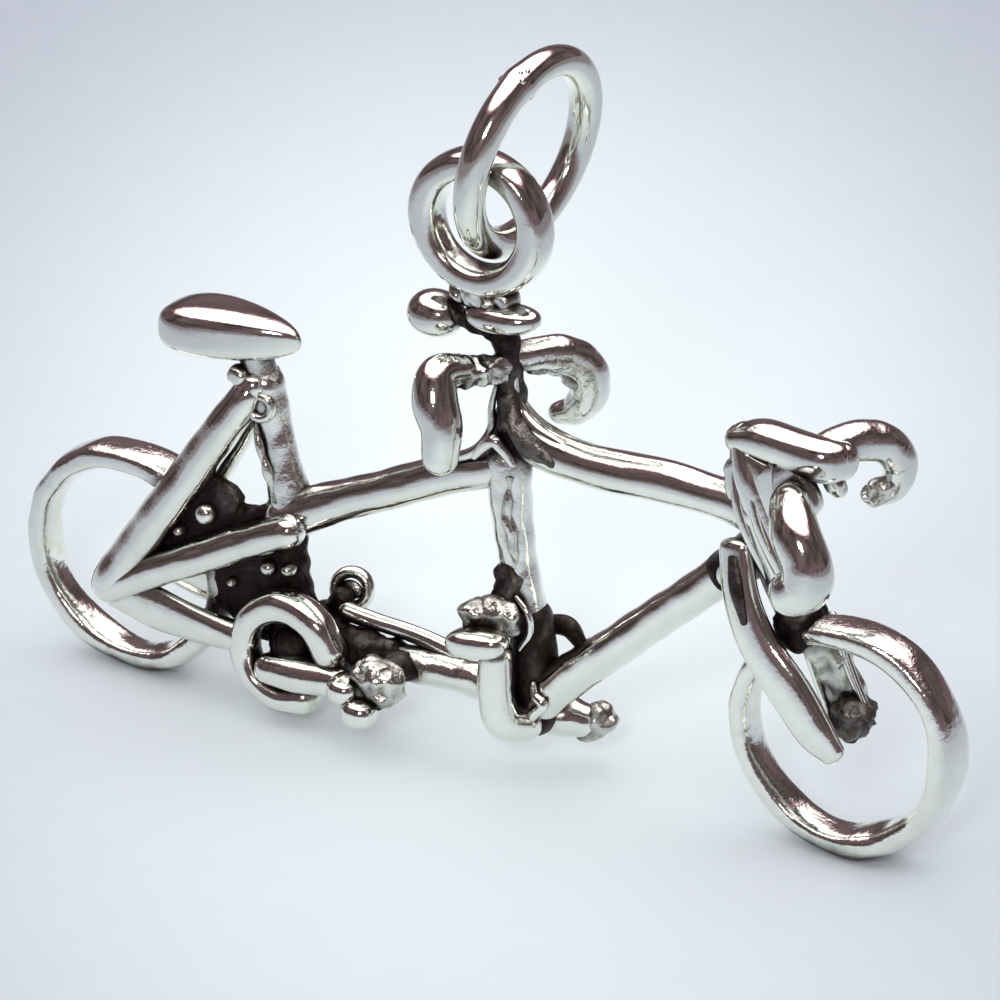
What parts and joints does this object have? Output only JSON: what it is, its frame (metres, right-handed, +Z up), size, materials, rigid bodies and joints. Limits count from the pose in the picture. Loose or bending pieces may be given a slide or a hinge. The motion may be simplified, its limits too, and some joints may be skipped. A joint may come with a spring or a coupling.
{
  "type": "tandem bicycle charm",
  "caption": "Small cast-metal tandem bicycle charm with a round hanging eye on the front saddle and a free jump ring threaded through it.",
  "frame": {"origin": "centre of the hanging eye, in the bike's middle plane, midway between the tail of the rear wheel and the nose of the front wheel; the wheel rings stand 13.5 mm below it", "axes": "+X forward, +Y to the bike's left side, +Z up"},
  "size_m": [0.025, 0.0063, 0.0175],
  "materials": {
    "polished_silver": "polished cast silver",
    "oxidised_silver": "darkened, granular",
    "ring_silver": "polished wire"
  },
  "bodies": {
    "charm": {"bail": "polished_silver", "bail_foot": "polished_silver", "boom_rod": "polished_silver", "boom_tube": "polished_silver", "captain_bar_left": "polished_silver", "captain_bar_right": "polished_silver", "captain_saddle": "polished_silver", "captain_stem": "polished_silver", "chainring": "polished_silver", "down_tube": "polished_silver", "down_tube_collar": "oxidised_silver", "fork_crown": "oxidised_silver", "fork_leg_left": "oxidised_silver", "fork_leg_right": "polished_silver", "front_axle": "oxidised_silver", "front_bb_shell": "oxidised_silver", "front_crank_left": "polished_silver", "front_crank_right": "polished_silver", "front_lug_left": "oxidised_silver", "front_lug_right": "oxidised_silver", "front_pedal_left": "polished_silver", "front_pedal_right": "polished_silver", "front_seat_tube": "polished_silver", "front_top_tube": "polished_silver", "front_wheel_ring": "polished_silver", "head_tube": "polished_silver", "left_chain_stay": "polished_silver", "left_mid_stay": "polished_silver", "left_seat_stay": "polished_silver", "rear_bb_shell": "oxidised_silver", "rear_crank_left": "oxidised_silver", "rear_crank_right": "polished_silver", "rear_pedal_left": "oxidised_silver", "rear_pedal_right": "polished_silver", "rear_seat_tube": "polished_silver", "rear_top_tube": "polished_silver", "rear_web": "oxidised_silver", "rear_wheel_ring": "polished_silver", "right_chain_stay": "polished_silver", "right_mid_stay": "polished_silver", "right_seat_stay": "polished_silver", "stoker_bar_left": "polished_silver", "stoker_bar_right": "polished_silver", "stoker_post": "polished_silver", "stoker_saddle": "polished_silver"},
    "ring": {"jump_ring": "ring_silver"}
  },
  "joints": [
    {"name": "ring_swing", "type": "hinge", "parent": "charm", "child": "ring", "pos_m": [0, 0, 0], "axis": [0, 1, 0], "range_deg": [-140, 120]}
  ]
}
